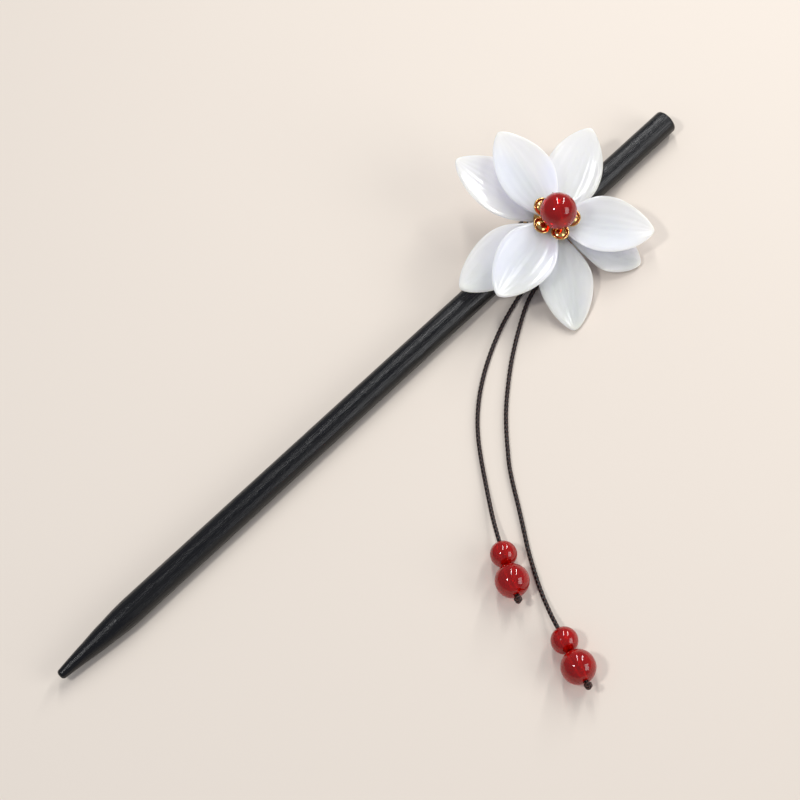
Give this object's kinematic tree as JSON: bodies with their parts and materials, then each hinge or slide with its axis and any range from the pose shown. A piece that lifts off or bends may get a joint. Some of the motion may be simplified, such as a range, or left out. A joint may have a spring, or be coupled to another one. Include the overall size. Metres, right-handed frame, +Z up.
{
  "type": "decorative hair pin",
  "caption": "Dark wooden hair stick with a white cupped-petal flower, a red bead at its middle and two beaded cords lying beside it.",
  "frame": {"origin": "middle of the pin's length and width, on the plane that the stick and the lowest petal rest on", "axes": "+X along the stick towards the flower end, +Z up from the resting plane; the flower's axis leans from +Z towards -Y"},
  "size_m": [0.1886, 0.1061, 0.0202],
  "materials": {
    "stained_wood": "black-stained hardwood, satin, fine lengthwise grain",
    "petal_resin": "translucent white moulded resin, glossy, fine raised ribs",
    "gold": "gold-plated brass, polished",
    "gold_wire": "gold-coloured copper wire, bright",
    "red_agate": "polished translucent red agate",
    "waxed_cord": "braided waxed cord, very dark brown"
  },
  "bodies": {
    "pin": {"stick": "stained_wood", "lower_plate": "gold", "upper_plate": "gold", "back_ties": "gold_wire", "front_ties": "gold_wire", "bead_cap": "gold", "centre_bead": "red_agate", "centre_wire": "gold_wire", "wire_wrap": "gold_wire", "cord_anchor": "waxed_cord", "back_petal_1": "petal_resin", "back_petal_2": "petal_resin", "back_petal_3": "petal_resin", "back_petal_4": "petal_resin", "back_petal_5": "petal_resin", "front_petal_1": "petal_resin", "front_petal_2": "petal_resin", "front_petal_3": "petal_resin"},
    "left_tassel": {"left_cord": "waxed_cord", "left_knot": "waxed_cord"},
    "right_tassel": {"right_cord": "waxed_cord", "right_knot": "waxed_cord"},
    "left_small": {"left_small_bead": "red_agate"},
    "left_large": {"left_large_bead": "red_agate"},
    "right_small": {"right_small_bead": "red_agate"},
    "right_large": {"right_large_bead": "red_agate"}
  },
  "joints": [
    {"name": "left_swing", "type": "hinge", "parent": "pin", "child": "left_tassel", "pos_m": [0.05015, -0.003, 0.00188], "axis": [0, 0, 1], "range_deg": [-12, 0]},
    {"name": "right_swing", "type": "hinge", "parent": "pin", "child": "right_tassel", "pos_m": [0.05125, -0.003, 0.00188], "axis": [0, 0, 1], "range_deg": [0, 18]},
    {"name": "left_small_spin", "type": "hinge", "parent": "left_tassel", "child": "left_small", "pos_m": [-0.0097, -0.0495, 0.0029], "axis": [-0.4737, -0.8725, 0.1194], "continuous": true},
    {"name": "left_large_spin", "type": "hinge", "parent": "left_tassel", "child": "left_large", "pos_m": [-0.01287, -0.05535, 0.0037], "axis": [-0.4737, -0.8725, 0.1194], "continuous": true},
    {"name": "right_small_spin", "type": "hinge", "parent": "right_tassel", "child": "right_small", "pos_m": [-0.0146, -0.0722, 0.0029], "axis": [-0.3396, -0.933, 0.1194], "continuous": true},
    {"name": "right_large_spin", "type": "hinge", "parent": "right_tassel", "child": "right_large", "pos_m": [-0.01688, -0.07845, 0.0037], "axis": [-0.3396, -0.933, 0.1194], "continuous": true}
  ]
}
